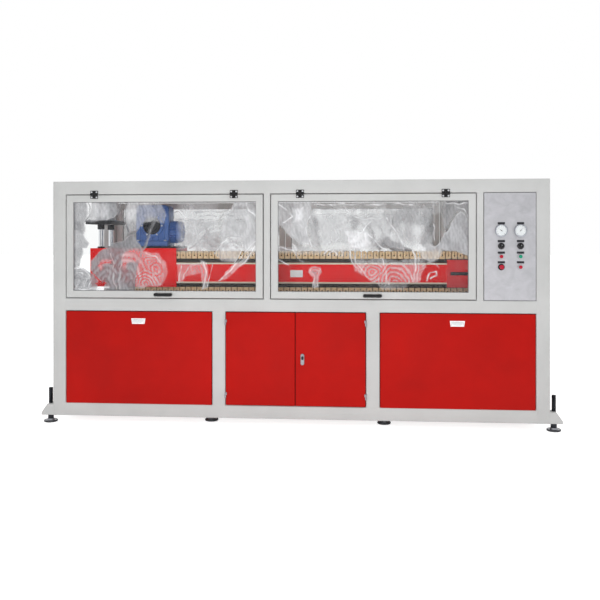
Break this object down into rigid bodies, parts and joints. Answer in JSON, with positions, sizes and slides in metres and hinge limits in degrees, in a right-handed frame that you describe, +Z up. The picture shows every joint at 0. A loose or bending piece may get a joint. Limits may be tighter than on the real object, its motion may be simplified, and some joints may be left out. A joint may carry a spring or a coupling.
{
  "type": "twin-track haul-off unit",
  "caption": "Guarded haul-off for a plastic extrusion line: tube frame, red panels, glazed lift-up guards, driven upper and lower rubber-pad tracks and a control plate.",
  "frame": {"origin": "bottom centre of the overall box, on the floor under the feet", "axes": "+Z up, -Y out of the front with the control plate, +X along the line towards the control plate"},
  "size_m": [3.15, 1.06, 1.488],
  "materials": {
    "grey_paint": "semi-gloss powder coat",
    "red_paint": "semi-gloss powder coat",
    "stainless_sheet": "fine brushed grain",
    "black_plastic": "moulded, lightly grained",
    "button_plastic": "glossy caps in red and green",
    "guard_glazing": "clear sheet with a wrinkled protective film",
    "tan_rubber": "moulded gripping pads",
    "oiled_chain": "oiled dark steel",
    "blue_paint": "machine enamel over a casting",
    "black_steel": "black oxide and paint",
    "chromed_rod": "ground and chromed"
  },
  "bodies": {
    "frame": {"corner_posts": "grey_paint", "long_rails": "grey_paint", "cross_rails": "grey_paint", "inner_posts": "grey_paint", "outrigger_gussets": "grey_paint", "levelling_feet": "black_steel", "lower_panels": "red_paint", "back_cover": "grey_paint", "panel_pulls": "stainless_sheet", "guard_hinge_leaves": "black_plastic", "back_guard_frames": "grey_paint", "back_guard_panes": "guard_glazing", "back_guard_handles": "black_plastic", "control_plate": "stainless_sheet", "control_box": "grey_paint", "pressure_gauges": "stainless_sheet", "control_knobs": "black_plastic", "push_buttons": "button_plastic", "top_cover": "grey_paint", "lower_track_beam": "red_paint", "lower_track_chain": "oiled_chain", "lower_track_blocks": "tan_rubber", "lower_track_housings": "red_paint", "lower_track_stands": "red_paint", "lift_cylinders": "black_steel"},
    "left_guard_door": {"left_guard_frame": "grey_paint", "left_guard_pane": "guard_glazing", "left_guard_hinges": "black_plastic", "left_guard_handle": "black_plastic"},
    "right_guard_door": {"right_guard_frame": "grey_paint", "right_guard_pane": "guard_glazing", "right_guard_hinges": "black_plastic", "right_guard_handle": "black_plastic"},
    "left_cabinet_door": {"left_cabinet_door": "red_paint"},
    "right_cabinet_door": {"right_cabinet_door": "red_paint", "cabinet_lock": "black_plastic"},
    "upper_track": {"upper_track_beam": "red_paint", "upper_track_chain": "oiled_chain", "upper_track_blocks": "tan_rubber", "upper_drive_housing": "red_paint", "upper_tension_housing": "red_paint", "motor_base_plate": "black_steel", "gearbox": "blue_paint", "drive_motor": "blue_paint", "piston_rods": "chromed_rod"}
  },
  "joints": [
    {"name": "left_guard_hinge", "type": "hinge", "parent": "frame", "child": "left_guard_door", "pos_m": [-0.806, -0.507, 1.4055], "axis": [-1, 0, 0], "range_deg": [0, 90]},
    {"name": "right_guard_hinge", "type": "hinge", "parent": "frame", "child": "right_guard_door", "pos_m": [0.462, -0.507, 1.4055], "axis": [-1, 0, 0], "range_deg": [0, 90]},
    {"name": "left_cabinet_hinge", "type": "hinge", "parent": "frame", "child": "left_cabinet_door", "pos_m": [-0.423, -0.5105, 0.4], "axis": [0, 0, -1], "range_deg": [0, 110]},
    {"name": "right_cabinet_hinge", "type": "hinge", "parent": "frame", "child": "right_cabinet_door", "pos_m": [0.423, -0.5105, 0.4], "axis": [0, 0, 1], "range_deg": [0, 110]},
    {"name": "upper_track_lift", "type": "slide", "parent": "frame", "child": "upper_track", "axis": [0, 0, 1], "range_m": [-0.015, 0.1]}
  ]
}
